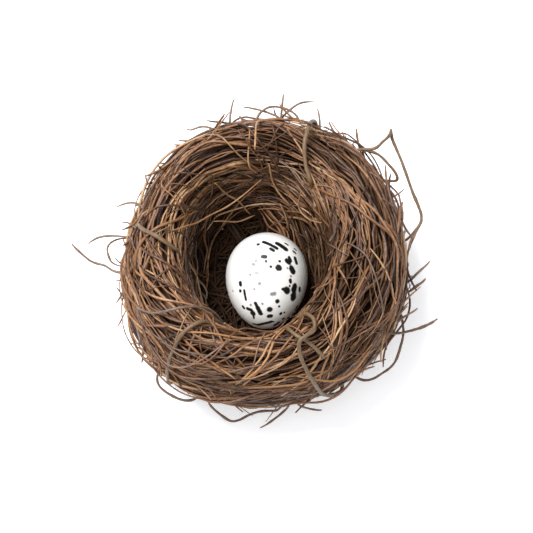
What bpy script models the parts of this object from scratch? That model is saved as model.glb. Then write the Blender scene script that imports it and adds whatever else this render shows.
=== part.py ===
"""A small bird nest with one speckled egg.

Several hundred fine roots and vine shoots are wound into a cup: a flat foot, a fat rounded wall and
a hollow that sits a little off centre. A few thicker vines are hooked over the rim, and loose ends
of twig stand out all round. The egg lies on its side in the hollow.

The origin is the middle of the flat foot, +Z is up, and everything is in metres.
"""

import math

import bmesh
import bpy
from mathutils import Matrix, Vector
from mathutils.bvhtree import BVHTree
from mathutils.geometry import intersect_point_line

MM = 0.001

# The cup's outline as (radius, height) in millimetres: foot, belly, crest, throat and floor.
OUTLINE = [
    (27.0, 0.0),
    (35.5, 3.5),
    (41.0, 12.5),
    (43.0, 24.5),
    (41.5, 36.0),
    (38.0, 44.0),
    (33.0, 47.0),
    (27.0, 44.0),
    (23.8, 36.5),
    (22.0, 27.0),
    (18.8, 16.5),
    (11.5, 9.6),
]
CREST = 6  # the outline's highest point
FLOOR_HEIGHT = 8.0
OUTLINE_STEPS = 2  # rings of vertices for each stretch of the outline
BEARINGS = 48  # steps round the cup
BODY_SIZE = 0.991
# Bulges of the body and the hollow: how many there are round the cup, their size as a share of the
# radius, and the bearing of one of them in degrees.
BODY_BULGES = [(1, 0.015, -35), (2, 0.033, 63), (3, 0.016, -25), (4, 0.009, 47), (5, 0.006, -12)]
HOLLOW_BULGES = [(2, 0.024, 40), (3, 0.010, 13), (5, 0.008, -5)]
HOLLOW_SHIFT = Vector((-2.8, 0.0))  # the hollow sits off centre, so the right wall is thicker
HOLLOW_SQUEEZE = 0.11  # it is this much narrower across than it is long
HOLLOW_STARTS = 4.0  # the shift and squeeze start this far outside the crest
HOLLOW_BLEND = 9.0  # and are complete this much further in

EGG_LENGTH = 30.0
EGG_WIDTH = 25.0
EGG_BLUNTNESS = 0.10  # how much fatter the blunt half is
EGG_TAPER = 0.04  # how much both ends draw in
EGG_FACETS = 28  # faces round the egg
EGG_RINGS = 18  # and from end to end
EGG_PLACE = Vector((0.3, -4.0, 21.6))
EGG_TURN = math.radians(-2.5)  # of its long axis, from +Y towards -X
EGG_PITCH = math.radians(2.0)

GAP = 0.35  # left between pieces that touch
STEP = 3.0  # between the points of a vine or twig
REACH = 4.5  # an end nearer to the wall than this is brought onto it
TIP = 0.55  # a loose end's thickness, as a share of the whole

# Vines hooked over the rim: thickness, then points as (bearing in degrees, radius, height) in
# millimetres. Bearings run anticlockwise from +X. Later vines lie over earlier ones.
VINES = {
    "vine_far_rim": (
        1.5,
        [
            (67, 44, 40),
            (70, 42, 44),
            (70, 36, 48),
            (68, 31, 47),
            (63, 27, 45),
            (55, 24, 43),
            (52, 22, 41),
        ],
    ),
    "vine_left_rim": (
        1.4,
        [(168, 40, 41), (175, 36, 46), (180, 32, 48), (185, 28, 47), (189, 24, 43)],
    ),
    "vine_near_left_rim": (
        1.4,
        [
            (241, 30, 45),
            (236, 31, 47),
            (233, 34, 48),
            (231, 38, 45),
            (231, 41, 40),
            (231, 43, 32),
            (233, 44, 20),
        ],
    ),
    "vine_knot_stub": (1.3, [(282, 26, 42), (286, 31, 46), (291, 34, 46), (297, 40, 42)]),
    "vine_knot": (
        1.4,
        [
            (291, 25, 42),
            (297, 26, 44),
            (299, 29, 46),
            (296, 32, 47),
            (290, 33, 47),
            (286, 34, 47),
            (286, 38, 45),
            (288, 42, 40),
            (290, 44, 34),
            (292, 45, 28),
            (296, 45, 22),
            (301, 44, 17),
            (306, 43, 16),
        ],
    ),
    "vine_right_bow": (
        1.1,
        [
            (50, 41, 43),
            (43, 44.5, 44),
            (43, 48.5, 43),
            (43.5, 52, 42),
            (45, 54.5, 41),
            (43, 52.5, 40),
            (37, 51, 38),
            (29, 49.5, 36),
            (23, 49, 34),
            (17, 49.5, 32),
            (14, 49, 31),
            (11, 47, 30),
            (7, 44, 28),
        ],
    ),
    "vine_upper_right_hook": (
        1.0,
        [
            (52, 42, 40),
            (43, 46, 39),
            (38, 46.5, 38),
            (34, 47, 37),
            (31, 47, 35),
            (33, 45, 33.5),
            (37, 43, 33),
        ],
    ),
}

# Loose ends of twig, in the same terms. Each starts where it leaves the wall, and a bow comes back.
TWIGS = {
    "twig_left_tan": (0.8, [(160, 40, 41), (158, 43.5, 36), (161, 48, 34)]),
    "twig_left_dark_stub": (0.9, [(169, 41, 37), (165, 43.5, 32), (165, 45.5, 31)]),
    "twig_left_crooked": (
        0.8,
        [(171, 42, 34), (171, 45.5, 32), (172, 50, 31), (173, 52.5, 30), (174, 54.5, 28)],
    ),
    "twig_left_long": (
        0.9,
        [(185, 43, 24), (182, 47.5, 24), (180, 49, 24), (179, 52, 24), (178, 54.5, 25), (174, 60, 27)],
    ),
    "twig_left_upright": (0.6, [(183, 43, 27), (180, 47.5, 27.5), (176, 48.5, 29)]),
    "twig_left_low_tan": (0.7, [(187, 43.5, 23), (185, 47.5, 22)]),
    "twig_left_rim_end": (0.7, [(186, 41.5, 34), (181, 44, 29), (178, 46, 27)]),
    "twig_left_bow": (0.7, [(169, 43.5, 29), (171, 47, 29.5), (176, 48.5, 30), (180, 46.5, 29)]),
    "twig_upper_left": (0.8, [(151, 40.5, 42.5), (147, 43.5, 40)]),
    "twig_far_left": (0.8, [(109, 41.5, 42), (115, 44.5, 40), (120, 45, 38), (121, 47, 37)]),
    "twig_far_left_upright": (0.8, [(106, 42, 41.5), (104, 45.5, 40), (101, 50.5, 39)]),
    "twig_far_dark_stub": (1.1, [(98, 42, 40), (100, 46, 37)]),
    "twig_far_upright": (0.8, [(84, 43, 41), (84, 47, 39), (84, 52, 38)]),
    "twig_far_sweep": (0.8, [(87, 44.5, 37), (82, 46.5, 38), (77, 49.5, 38), (73, 52, 36)]),
    "twig_far_lying": (0.8, [(81, 41, 42.5), (90, 44.5, 40), (98, 48, 37)]),
    "twig_far_arc": (0.8, [(96, 41, 43.5), (91, 44.5, 42), (84, 46, 41), (78, 45, 41), (74, 42.5, 42)]),
    "twig_far_spur": (0.8, [(66, 43, 36), (69, 46.5, 37.5), (71, 49.5, 38)]),
    "twig_far_right_stub": (0.8, [(56, 43, 40), (57, 46, 39)]),
    "twig_right_spur": (0.8, [(26, 42, 35.5), (25, 45, 36), (26, 47.5, 36)]),
    "twig_right_upper_fork": (0.9, [(350, 44, 25), (357, 47, 25), (1, 50.5, 26)]),
    "twig_right_dark_fork": (1.0, [(346, 44, 23), (352, 46.5, 22.5), (356, 49.5, 22)]),
    "twig_right_middle": (0.9, [(328, 43, 30), (336, 45.5, 30), (341, 48.5, 30)]),
    "twig_right_lowest": (1.0, [(329, 44, 23), (335, 48, 21.5), (340, 52, 20), (344, 55, 18)]),
    "twig_right_bow": (
        0.9,
        [
            (345, 43, 20),
            (336, 46, 19),
            (328, 48, 17),
            (323, 48.5, 15),
            (318, 47, 13),
            (313, 45.5, 12),
            (308, 42, 13),
        ],
    ),
    "twig_near_right": (0.8, [(281, 43, 18), (286, 44, 14), (292, 46, 12)]),
    "twig_near_tan": (0.8, [(283, 41, 11), (275, 43.5, 9), (268, 46.5, 6)]),
    "twig_near_left_bow": (
        0.9,
        [
            (245, 43, 17),
            (249, 44.5, 12),
            (256, 46.5, 9),
            (260, 45, 8),
            (264, 43, 9),
            (271, 42, 12),
            (279, 42, 14),
        ],
    ),
    "twig_lower_left_bow": (
        0.9,
        [(223, 45, 20), (227, 48, 15), (233, 47.5, 13), (239, 46, 12), (244, 42, 12)],
    ),
    "twig_lower_left_stub": (0.7, [(213, 44, 19), (209, 48, 18)]),
    "twig_left_lowest": (0.8, [(201, 43, 17), (205, 46, 15)]),
}

BARK = (0.155, 0.088, 0.052)
VINE = (0.235, 0.175, 0.105)
SHELL = (0.86, 0.85, 0.82)


def clear_scene():
    for obj in list(bpy.data.objects):
        bpy.data.objects.remove(obj)


def material(name, colour, roughness):
    made = bpy.data.materials.new(name)
    made.use_nodes = True
    shader = made.node_tree.nodes["Principled BSDF"]
    shader.inputs["Base Color"].default_value = (*colour, 1.0)
    shader.inputs["Roughness"].default_value = roughness
    shader.inputs["Metallic"].default_value = 0.0
    made.diffuse_color = (*colour, 1.0)
    return made


def spline_point(points, t):
    """A point on the smooth curve through points, where t counts from the first one."""
    i = min(int(t), len(points) - 2)
    u = t - i
    b, c = Vector(points[i]), Vector(points[i + 1])
    a = Vector(points[i - 1]) if i else 2 * b - c
    d = Vector(points[i + 2]) if i + 2 < len(points) else 2 * c - b
    return 0.5 * (
        2 * b + (c - a) * u + (2 * a - 5 * b + 4 * c - d) * u * u + (3 * (b - c) + d - a) * u**3
    )


def bulged(bearing, bulges):
    return 1 + sum(size * math.cos(count * (bearing - math.radians(at))) for count, size, at in bulges)


def hand_wound(point):
    """Moves a point of the turned cup to where the hand-wound one has it: lumpy and off centre."""
    bearing = math.atan2(point.y, point.x)
    radius = math.hypot(point.x, point.y)
    height = 1 + 0.022 * math.cos(bearing - 1.9) + 0.014 * math.cos(3 * bearing + 1.0)
    crest_radius = OUTLINE[CREST][0]
    inward = min(max((crest_radius + HOLLOW_STARTS - radius) / HOLLOW_BLEND, 0.0), 1.0)
    raised = min(max(point.z / FLOOR_HEIGHT, 0.0), 1.0)
    share = inward * inward * (3 - 2 * inward) * raised
    body_girth = BODY_SIZE * bulged(bearing, BODY_BULGES)
    girth = body_girth + (bulged(bearing, HOLLOW_BULGES) - body_girth) * share
    squeeze = HOLLOW_SQUEEZE * share
    return Vector(
        (
            point.x * girth * (1 - squeeze) + HOLLOW_SHIFT.x * share,
            point.y * girth * (1 + squeeze) + HOLLOW_SHIFT.y * share,
            point.z * height,
        )
    )


def cup_mesh():
    """The cup as one turned and then lumpy solid, in millimetres."""
    rings = (len(OUTLINE) - 1) * OUTLINE_STEPS + 1
    profile = [spline_point(OUTLINE, i / OUTLINE_STEPS) for i in range(rings)]
    made = bmesh.new()
    line = [made.verts.new((p.x, 0.0, max(p.y, 0.0))) for p in profile]
    line.append(made.verts.new((0.0, 0.0, FLOOR_HEIGHT)))
    edges = [made.edges.new(pair) for pair in zip(line, line[1:], strict=False)]
    bmesh.ops.spin(
        made,
        geom=line + edges,
        axis=(0, 0, 1),
        cent=(0, 0, 0),
        angle=2 * math.pi,
        steps=BEARINGS,
        use_merge=True,
    )
    bmesh.ops.remove_doubles(made, verts=made.verts, dist=1e-4)
    bmesh.ops.holes_fill(made, edges=[e for e in made.edges if e.is_boundary], sides=0)
    bmesh.ops.recalc_face_normals(made, faces=made.faces)
    for vertex in made.verts:
        vertex.co = hand_wound(vertex.co)
    return made


def object_from(made, name, finish, smooth_angle=40.0):
    """One named object in metres from a mesh in millimetres."""
    made.transform(Matrix.Scale(MM, 4))
    mesh = bpy.data.meshes.new(name)
    made.to_mesh(mesh)
    made.free()
    mesh.materials.append(finish)
    mesh.shade_smooth()
    mesh.set_sharp_from_angle(angle=math.radians(smooth_angle))
    obj = bpy.data.objects.new(name, mesh)
    bpy.context.scene.collection.objects.link(obj)
    return obj


def egg(finish):
    """A ball drawn out along its own Z, with the blunt end at +Z, then laid on its side."""
    made = bmesh.new()
    bmesh.ops.create_uvsphere(made, u_segments=EGG_FACETS, v_segments=EGG_RINGS, radius=1.0)
    for vertex in made.verts:
        along = vertex.co.z
        wide = EGG_WIDTH / 2 * (1 + EGG_BLUNTNESS * along - EGG_TAPER * along**2)
        vertex.co = Vector((vertex.co.x * wide, vertex.co.y * wide, along * EGG_LENGTH / 2))
    obj = object_from(made, "egg", finish, smooth_angle=180.0)
    obj.location = EGG_PLACE * MM
    obj.rotation_euler = (-math.pi / 2 + EGG_PITCH, 0.0, EGG_TURN)
    return obj


def cylinder_point(bearing, radius, height):
    turn = math.radians(bearing)
    return Vector((radius * math.cos(turn), radius * math.sin(turn), height))


def laid_route(points, thickness, cup_tree, laid):
    """Evenly spaced points along a vine or twig, each kept clear of the cup and of what's laid."""
    corners = [cylinder_point(*point) for point in points]
    length = sum((b - a).length for a, b in zip(corners, corners[1:], strict=False))
    count = max(math.ceil(length / STEP), 2)
    clearance = thickness / 2 + GAP
    route = []
    for i in range(count + 1):
        place = spline_point(corners, (len(corners) - 1) * i / count)
        near, outward, _, _ = cup_tree.find_nearest(place)
        height = (place - near).dot(outward)
        is_end = i in (0, count)
        if height < clearance or (is_end and height < REACH):
            place = near + outward * clearance
        while too_close(place, thickness, laid):
            place = place + outward * GAP
        route.append(place)
    laid.append((route, thickness))
    return route


def too_close(place, thickness, laid):
    for route, other in laid:
        for a, b in zip(route, route[1:], strict=False):
            nearest, share = intersect_point_line(place, a, b)
            if share < 0:
                nearest = a
            elif share > 1:
                nearest = b
            if (place - nearest).length < (thickness + other) / 2 + GAP:
                return True
    return False


def tube(name, route, thickness, finish):
    """One vine or twig as a round tube with filled ends, thinner at its far end."""
    curve = bpy.data.curves.new(name, "CURVE")
    curve.dimensions = "3D"
    curve.bevel_depth = thickness / 2 * MM
    curve.bevel_resolution = 1
    curve.use_fill_caps = True
    spline = curve.splines.new("POLY")
    spline.points.add(len(route) - 1)
    for i, (point, place) in enumerate(zip(spline.points, route, strict=True)):
        point.co = (*(place * MM), 1.0)
        point.radius = 1 - (1 - TIP) * i / (len(route) - 1)
    spline.use_smooth = True
    curve.materials.append(finish)
    obj = bpy.data.objects.new(name, curve)
    bpy.context.scene.collection.objects.link(obj)
    return obj


clear_scene()
bark = material("bark", BARK, 0.8)
vine = material("vine", VINE, 0.7)
shell = material("shell", SHELL, 0.35)

cup = cup_mesh()
cup_tree = BVHTree.FromBMesh(cup)
object_from(cup, "woven_cup", bark)
egg(shell)

laid = []
for name, (thickness, points) in VINES.items():
    tube(name, laid_route(points, thickness, cup_tree, laid), thickness, vine)
for name, (thickness, points) in TWIGS.items():
    tube(name, laid_route(points, thickness, cup_tree, laid), thickness, bark)
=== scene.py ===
"""A small woven bird nest with one speckled egg.

The wall is laid strand by strand: each fine root follows the cup round, rests on the strands that
are already there, and dips or lifts with them. Thicker vines are hooked over the rim, loose twig
ends stand out all round, and a glossy white egg lies in the hollow.

Lengths are in millimetres until a mesh is made. Bearings run anticlockwise from +X.
"""

import math

import bpy
import numpy as np
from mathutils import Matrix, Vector
from mathutils.bvhtree import BVHTree


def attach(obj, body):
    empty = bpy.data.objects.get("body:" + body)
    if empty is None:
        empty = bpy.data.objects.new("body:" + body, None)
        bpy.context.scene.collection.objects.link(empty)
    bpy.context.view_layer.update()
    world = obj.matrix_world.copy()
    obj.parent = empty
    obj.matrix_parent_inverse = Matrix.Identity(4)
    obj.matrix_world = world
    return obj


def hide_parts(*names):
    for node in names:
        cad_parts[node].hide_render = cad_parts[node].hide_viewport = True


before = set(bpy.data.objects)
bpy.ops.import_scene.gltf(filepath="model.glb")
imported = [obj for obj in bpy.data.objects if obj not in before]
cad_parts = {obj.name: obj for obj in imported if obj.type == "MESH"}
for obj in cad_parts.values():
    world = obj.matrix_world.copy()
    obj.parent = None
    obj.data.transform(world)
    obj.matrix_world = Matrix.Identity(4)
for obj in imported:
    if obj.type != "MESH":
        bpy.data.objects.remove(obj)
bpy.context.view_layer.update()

MM = 0.001
TURN = 2 * math.pi
rng = np.random.default_rng(11)

# The wall is seen as a ring with a round section. A place on it is a bearing round the nest and a
# turn round the section: 0 faces out, 90 degrees up, 180 into the hollow.
CORE_RADIUS = 32.0
CORE_HEIGHT = 25.0
TURN_FROM = math.radians(-125)
TURN_TO = math.radians(218)
BEARING_CELLS = 720
TURN_CELLS = 343
CELL = 0.3  # about how far apart the cells are
RAY_ROWS = 120  # the surface is measured at this many bearings
RAY_COLUMNS = 115  # and this many turns
FOOT_CLEARANCE = 0.8  # keeps the lowest strands above what the nest stands on
STANDING_GAP = 0.05  # under the lowest side of a strand
TURNS = np.linspace(TURN_FROM, TURN_TO, TURN_CELLS)
# Inside the hollow the roots' surface keeps behind the solid's, to leave room for the lining.
HOLLOW_TURNS = np.radians((95, 135))
HOLLOW_SET_BACK = 1.7

LAID_FROM = 7.0  # how far under the surface the first strands lie
FOOT_FROM = 2.6  # the same at the foot
FLOOR_FROM = 4.5  # the same at the floor of the hollow
# Room that the windings leave for what is laid over them: the fan, and the lining of the hollow.
FAN_ROOM = 2.6
FAN_MIDDLE = np.radians((5, 95))  # the bearing and turn of the fan's middle
FAN_REACH = np.radians((60, 50))  # and how far it reaches from there
LINING_ROOM = 2.2
LINING_FROM = math.radians(125)
# Painted shade on the right, strongest on the inner wall: how much deeper than they lie the roots look
# there, by their turn round the wall.
SHADE_BEARING = math.radians(-10)
SHADE_TURNS = np.radians((20, 50, 100, 140))
SHADES = (0, 1.3, 2.0, 6.6)
SLANT = math.radians(14)  # how far the windings slant at most
SLANT_BEARING = math.radians(290)  # where they climb most steeply into the hollow

HOLLOW_CENTRE = (-2.8, 0.0)
EGG_CENTRE = np.array([0.3, -4.0, 21.6])
EGG_LENGTH = 30.0
EGG_WIDTH = 25.0
EGG_BLUNTNESS = 0.10
EGG_TURN = math.radians(-2.5)
EGG_PITCH = math.radians(2.0)

# Thickness and route of each vine and twig, as the solids that they replace have them. Places are
# (bearing, radius, height). A helper program worked them out, and they were rounded and adjusted.
VINES = {
    "vine_far_rim": (1.5, [
        (67, 44, 40), (70, 42, 44), (70, 36, 48), (68, 31, 47), (63, 27, 45), (55, 24, 43),
        (52, 22, 41),
    ]),
    "vine_left_rim": (1.4, [
        (168, 40, 41), (175, 36, 46), (180, 32, 48), (185, 28, 47), (189, 24, 43),
    ]),
    "vine_near_left_rim": (1.4, [
        (241, 30, 45), (236, 31, 47), (233, 34, 48), (231, 38, 45), (231, 41, 40), (231, 43, 32),
        (233, 44, 20),
    ]),
    "vine_knot_stub": (1.3, [(282, 26, 42), (286, 31, 46), (291, 34, 46), (297, 40, 42)]),
    "vine_knot": (1.4, [
        (291, 25, 42), (297, 26, 44), (299, 29, 46), (296, 32, 47), (290, 33, 47), (286, 34, 47),
        (286, 38, 45), (288, 42, 40), (290, 44, 34), (292, 45, 28), (296, 45, 22), (301, 44, 17),
        (306, 43, 16),
    ]),
    "vine_right_bow": (1.1, [
        (50, 41, 43), (43, 44.5, 44), (43, 48.5, 43), (43.5, 52, 42), (45, 54.5, 41),
        (43, 52.5, 40), (37, 51, 38), (29, 49.5, 36), (23, 49, 34), (17, 49.5, 32), (14, 49, 31),
        (11, 47, 30), (7, 44, 28),
    ]),
    "vine_upper_right_hook": (1.0, [
        (52, 42, 40), (43, 46, 39), (38, 46.5, 38), (34, 47, 37), (31, 47, 35), (33, 45, 33.5),
        (37, 43, 33),
    ]),
}
TWIGS = {
    "twig_left_tan": (0.8, [(160, 40, 41), (158, 43.5, 36), (161, 48, 34)]),
    "twig_left_dark_stub": (0.9, [(169, 41, 37), (165, 43.5, 32), (165, 45.5, 31)]),
    "twig_left_crooked": (0.8, [
        (171, 42, 34), (171, 45.5, 32), (172, 50, 31), (173, 52.5, 30), (174, 54.5, 28),
    ]),
    "twig_left_long": (0.9, [
        (185, 43, 24), (182, 47.5, 24), (180, 49, 24), (179, 52, 24), (178, 54.5, 25),
        (174, 60, 27),
    ]),
    "twig_left_upright": (0.6, [(183, 43, 27), (180, 47.5, 27.5), (176, 48.5, 29)]),
    "twig_left_low_tan": (0.7, [(187, 43.5, 23), (185, 47.5, 22)]),
    "twig_left_rim_end": (0.7, [(186, 41.5, 34), (181, 44, 29), (178, 46, 27)]),
    "twig_left_bow": (0.7, [(169, 43.5, 29), (171, 47, 29.5), (176, 48.5, 30), (180, 46.5, 29)]),
    "twig_upper_left": (0.8, [(151, 40.5, 42.5), (147, 43.5, 40)]),
    "twig_far_left": (0.8, [(109, 41.5, 42), (115, 44.5, 40), (120, 45, 38), (121, 47, 37)]),
    "twig_far_left_upright": (0.8, [(106, 42, 41.5), (104, 45.5, 40), (101, 50.5, 39)]),
    "twig_far_dark_stub": (1.1, [(98, 42, 40), (100, 46, 37)]),
    "twig_far_upright": (0.8, [(84, 43, 41), (84, 47, 39), (84, 52, 38)]),
    "twig_far_sweep": (0.8, [(87, 44.5, 37), (82, 46.5, 38), (77, 49.5, 38), (73, 52, 36)]),
    "twig_far_lying": (0.8, [(81, 41, 42.5), (90, 44.5, 40), (98, 48, 37)]),
    "twig_far_arc": (0.8, [
        (96, 41, 43.5), (91, 44.5, 42), (84, 46, 41), (78, 45, 41), (74, 42.5, 42),
    ]),
    "twig_far_spur": (0.8, [(66, 43, 36), (69, 46.5, 37.5), (71, 49.5, 38)]),
    "twig_far_right_stub": (0.8, [(56, 43, 40), (57, 46, 39)]),
    "twig_right_spur": (0.8, [(26, 42, 35.5), (25, 45, 36), (26, 47.5, 36)]),
    "twig_right_upper_fork": (0.9, [(350, 44, 25), (357, 47, 25), (1, 50.5, 26)]),
    "twig_right_dark_fork": (1.0, [(346, 44, 23), (352, 46.5, 22.5), (356, 49.5, 22)]),
    "twig_right_middle": (0.9, [(328, 43, 30), (336, 45.5, 30), (341, 48.5, 30)]),
    "twig_right_lowest": (1.0, [(329, 44, 23), (335, 48, 21.5), (340, 52, 20), (344, 55, 18)]),
    "twig_right_bow": (0.9, [
        (345, 43, 20), (336, 46, 19), (328, 48, 17), (323, 48.5, 15), (318, 47, 13),
        (313, 45.5, 12), (308, 42, 13),
    ]),
    "twig_near_right": (0.8, [(281, 43, 18), (286, 44, 14), (292, 46, 12)]),
    "twig_near_tan": (0.8, [(283, 41, 11), (275, 43.5, 9), (268, 46.5, 6)]),
    "twig_near_left_bow": (0.9, [
        (245, 43, 17), (249, 44.5, 12), (256, 46.5, 9), (260, 45, 8), (264, 43, 9), (271, 42, 12),
        (279, 42, 14),
    ]),
    "twig_lower_left_bow": (0.9, [
        (223, 45, 20), (227, 48, 15), (233, 47.5, 13), (239, 46, 12), (244, 42, 12),
    ]),
    "twig_lower_left_stub": (0.7, [(213, 44, 19), (209, 48, 18)]),
    "twig_left_lowest": (0.8, [(201, 43, 17), (205, 46, 15)]),
}


# ---------------------------------------------------------------- the cup's surface


def spread(grid, rows, columns):
    """A grid that closes on itself down its rows, drawn out to more rows and columns."""
    height, width = grid.shape[:2]
    row = np.arange(rows) * height / rows
    low = row.astype(int)
    part = (row - low)[:, None, None]
    tall = grid[low % height] * (1 - part) + grid[(low + 1) % height] * part
    column = np.linspace(0, width - 1, columns)
    left = np.minimum(column.astype(int), width - 2)
    part = (column - left)[None, :, None]
    return tall[:, left] * (1 - part) + tall[:, left + 1] * part


def blurred(grid, rows, columns):
    """The same grid smoothed by that many cells each way."""
    for axis, reach in ((0, rows), (1, columns)):
        offsets = np.arange(-2 * reach, 2 * reach + 1)
        weights = np.exp(-0.5 * (offsets / reach) ** 2)
        weights /= weights.sum()
        count = grid.shape[axis]
        total = np.zeros_like(grid)
        for offset, weight in zip(offsets, weights, strict=True):
            index = np.arange(count) + offset
            index = index % count if axis == 0 else np.clip(index, 0, count - 1)
            total += weight * np.take(grid, index, axis=axis)
        grid = total
    return grid


def wall_surface(cup):
    """Grids of the surface's place, outward direction, and size of a radian each way."""
    tree = BVHTree.FromPolygons(
        [v.co / MM for v in cup.data.vertices], [tuple(p.vertices) for p in cup.data.polygons]
    )
    place = np.empty((RAY_ROWS, RAY_COLUMNS, 3))
    for i in range(RAY_ROWS):
        bearing = TURN * i / RAY_ROWS
        out = Vector((math.cos(bearing), math.sin(bearing), 0))
        core = out * CORE_RADIUS + Vector((0, 0, CORE_HEIGHT))
        for j, turn in enumerate(np.linspace(TURN_FROM, TURN_TO, RAY_COLUMNS)):
            ray = out * math.cos(turn) + Vector((0, 0, math.sin(turn)))
            place[i, j] = tree.ray_cast(core, ray)[0]
    place = blurred(spread(place, BEARING_CELLS, TURN_CELLS), 7, 4)
    along_bearing = np.roll(place, -1, axis=0) - np.roll(place, 1, axis=0)
    along_bearing /= 2 * TURN / BEARING_CELLS
    along_turn = np.gradient(place, (TURN_TO - TURN_FROM) / (TURN_CELLS - 1), axis=1)
    out = np.cross(along_bearing, along_turn)
    out /= np.linalg.norm(out, axis=2, keepdims=True)
    into_hollow = np.interp(TURNS, HOLLOW_TURNS, (0.0, HOLLOW_SET_BACK))
    place -= out * into_hollow[None, :, None]
    place[:, :, 2] = np.maximum(place[:, :, 2], FOOT_CLEARANCE)
    return place, out, np.linalg.norm(along_bearing, axis=2), np.linalg.norm(along_turn, axis=2)


PLACE, OUT, BEARING_SIZE, TURN_SIZE = wall_surface(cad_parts["woven_cup"])
BEARINGS = TURN * np.arange(BEARING_CELLS) / BEARING_CELLS
# How high the strands laid so far reach, measured from the surface.
TOP = np.where(TURNS < math.radians(-50), -FOOT_FROM, -LAID_FROM) * np.ones((BEARING_CELLS, 1))
TOP[:, TURNS > math.radians(195)] = -FLOOR_FROM
in_fan = (np.cos(BEARINGS - FAN_MIDDLE[0]) > math.cos(FAN_REACH[0]))[:, None]
in_fan = in_fan & (np.abs(TURNS - FAN_MIDDLE[1]) < FAN_REACH[1])[None, :]
ROOM = np.where(in_fan, FAN_ROOM, 0.0)
ROOM[:, TURNS > LINING_FROM] = LINING_ROOM
ROOM = blurred(ROOM, 8, 6)
# Painted shade on the right of the cup, as extra depth at each cell.
on_the_right = np.clip(np.cos(BEARINGS - SHADE_BEARING), 0, 1)
SHADE = on_the_right[:, None] * np.interp(TURNS, SHADE_TURNS, SHADES)


def cells(bearing, turn):
    """The rows and columns of the cells at these places."""
    row = np.rint(bearing / TURN * BEARING_CELLS).astype(int) % BEARING_CELLS
    column = np.rint((turn - TURN_FROM) / (TURN_TO - TURN_FROM) * (TURN_CELLS - 1)).astype(int)
    return row, np.clip(column, 0, TURN_CELLS - 1)


def look_up(grid, bearing, turn):
    """A grid's value between its cells."""
    row = (bearing / TURN * BEARING_CELLS) % BEARING_CELLS
    column = np.clip((turn - TURN_FROM) / (TURN_TO - TURN_FROM), 0, 1) * (TURN_CELLS - 1)
    low = row.astype(int)
    left = np.minimum(column.astype(int), TURN_CELLS - 2)
    a = row - low
    b = column - left
    if grid.ndim == 3:
        a = a[..., None]
        b = b[..., None]
    high = (low + 1) % BEARING_CELLS
    low = low % BEARING_CELLS
    near = grid[low, left] * (1 - a) + grid[high, left] * a
    far = grid[low, left + 1] * (1 - a) + grid[high, left + 1] * a
    return near * (1 - b) + far * b


# ---------------------------------------------------------------- paths over the wall

STEPS = 90  # places along a path
HOMING = 0.25  # how strongly a root along the wall turns back to the level that it started at


def wander(length, size, waves=(60, 27, 11)):
    """Slow wavering along strands of these lengths, one line of numbers for each."""
    count = len(length)
    way = np.linspace(0, 1, STEPS) * length[:, None]
    total = np.zeros((count, STEPS))
    for wave, share in zip(waves, (1.0, 0.6, 0.45), strict=True):
        wave = wave * rng.uniform(0.75, 1.3, (count, 1))
        depth = share * rng.normal(0, 1, (count, 1))
        total += depth * np.sin(TURN * (way / wave + rng.uniform(0, 1, (count, 1))))
    return total * np.reshape(size, (-1, 1))


def kinks(length, size, apart=24.0):
    """Sudden small changes of heading, as at the knots of a root."""
    count = len(length)
    chance = length[:, None] / apart / STEPS
    at_knot = rng.uniform(size=(count, STEPS)) < chance
    bends = np.where(at_knot, rng.normal(0, 1, (count, STEPS)), 0.0)
    return np.cumsum(bends, axis=1) * size


def grow(bearing, turn, heading, length, swing, kink=0.0):
    """Paths over the wall from their starts. A heading of 0 follows the wall round."""
    bearing = np.array(bearing, float)
    turn = np.array(turn, float)
    home = turn.copy()
    drift = wander(length, swing) + kinks(length, kink)
    along_wall = np.abs(heading) < math.radians(30)
    path = np.empty((len(bearing), STEPS, 2))
    pace = length / (STEPS - 1)
    for k in range(STEPS):
        path[:, k, 0] = bearing
        path[:, k, 1] = turn
        steer = heading + SLANT * np.cos(bearing - SLANT_BEARING) + drift[:, k]
        steer = steer - HOMING * np.clip(turn - home, -1.5, 1.5) * along_wall
        row, column = cells(bearing, turn)
        bearing = bearing + np.cos(steer) * pace / BEARING_SIZE[row, column]
        turn = turn + np.sin(steer) * pace / TURN_SIZE[row, column]
        turn = np.clip(turn, TURN_FROM, TURN_TO)
    return path


def sweep(start, end, waver):
    """Paths from one place on the wall to another, each wavering by a few millimetres."""
    share = np.linspace(0, 1, STEPS)[None, :, None]
    path = start[:, None] * (1 - share) + end[:, None] * share
    row, column = cells(path[..., 0], path[..., 1])
    length = np.abs(end[:, 0] - start[:, 0]) * CORE_RADIUS
    path[..., 1] += wander(length, waver) / TURN_SIZE[row, column]
    path[..., 1] = np.clip(path[..., 1], TURN_FROM, TURN_TO)
    return path


def path_length(path):
    """A path's length in millimetres."""
    row, column = cells(path[:-1, 0], path[:-1, 1])
    step = np.diff(path, axis=0)
    return np.hypot(step[:, 0] * BEARING_SIZE[row, column], step[:, 1] * TURN_SIZE[row, column]).sum()


def beside(path, aside):
    """A path that keeps that many millimetres to the side of another, drifting a little."""
    row, column = cells(path[:, 0], path[:, 1])
    drift = wander(np.array([path_length(path)]), 0.45)[0]
    other = path.copy()
    other[:, 1] = np.clip(path[:, 1] + (aside + drift) / TURN_SIZE[row, column], TURN_FROM, TURN_TO)
    return other


# ---------------------------------------------------------------- laying a strand on the others

# How far over the surface the uppermost roots may pile up, at each turn round the wall.
CROWN_TURNS = np.radians((20, 60, 105, 130))
CROWNS = (0.5, 1.3, 1.4, 0.9)
SAMPLE = 0.6  # between the samples at which a strand rests on those under it
STIFF = 3.2  # a strand bridges hollows about this long
GIVE = 0.35  # how far it presses into what it crosses
ROUNDING = 1.2  # its bends are rounded over about this length
ROOM_TAKEN = 0.25  # how much of the room left for others it may pile up into
SPLAY_LENGTH = 9.0  # how long a splayed end is
EGG_ROOM = 0.3  # left between a strand and the egg


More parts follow.
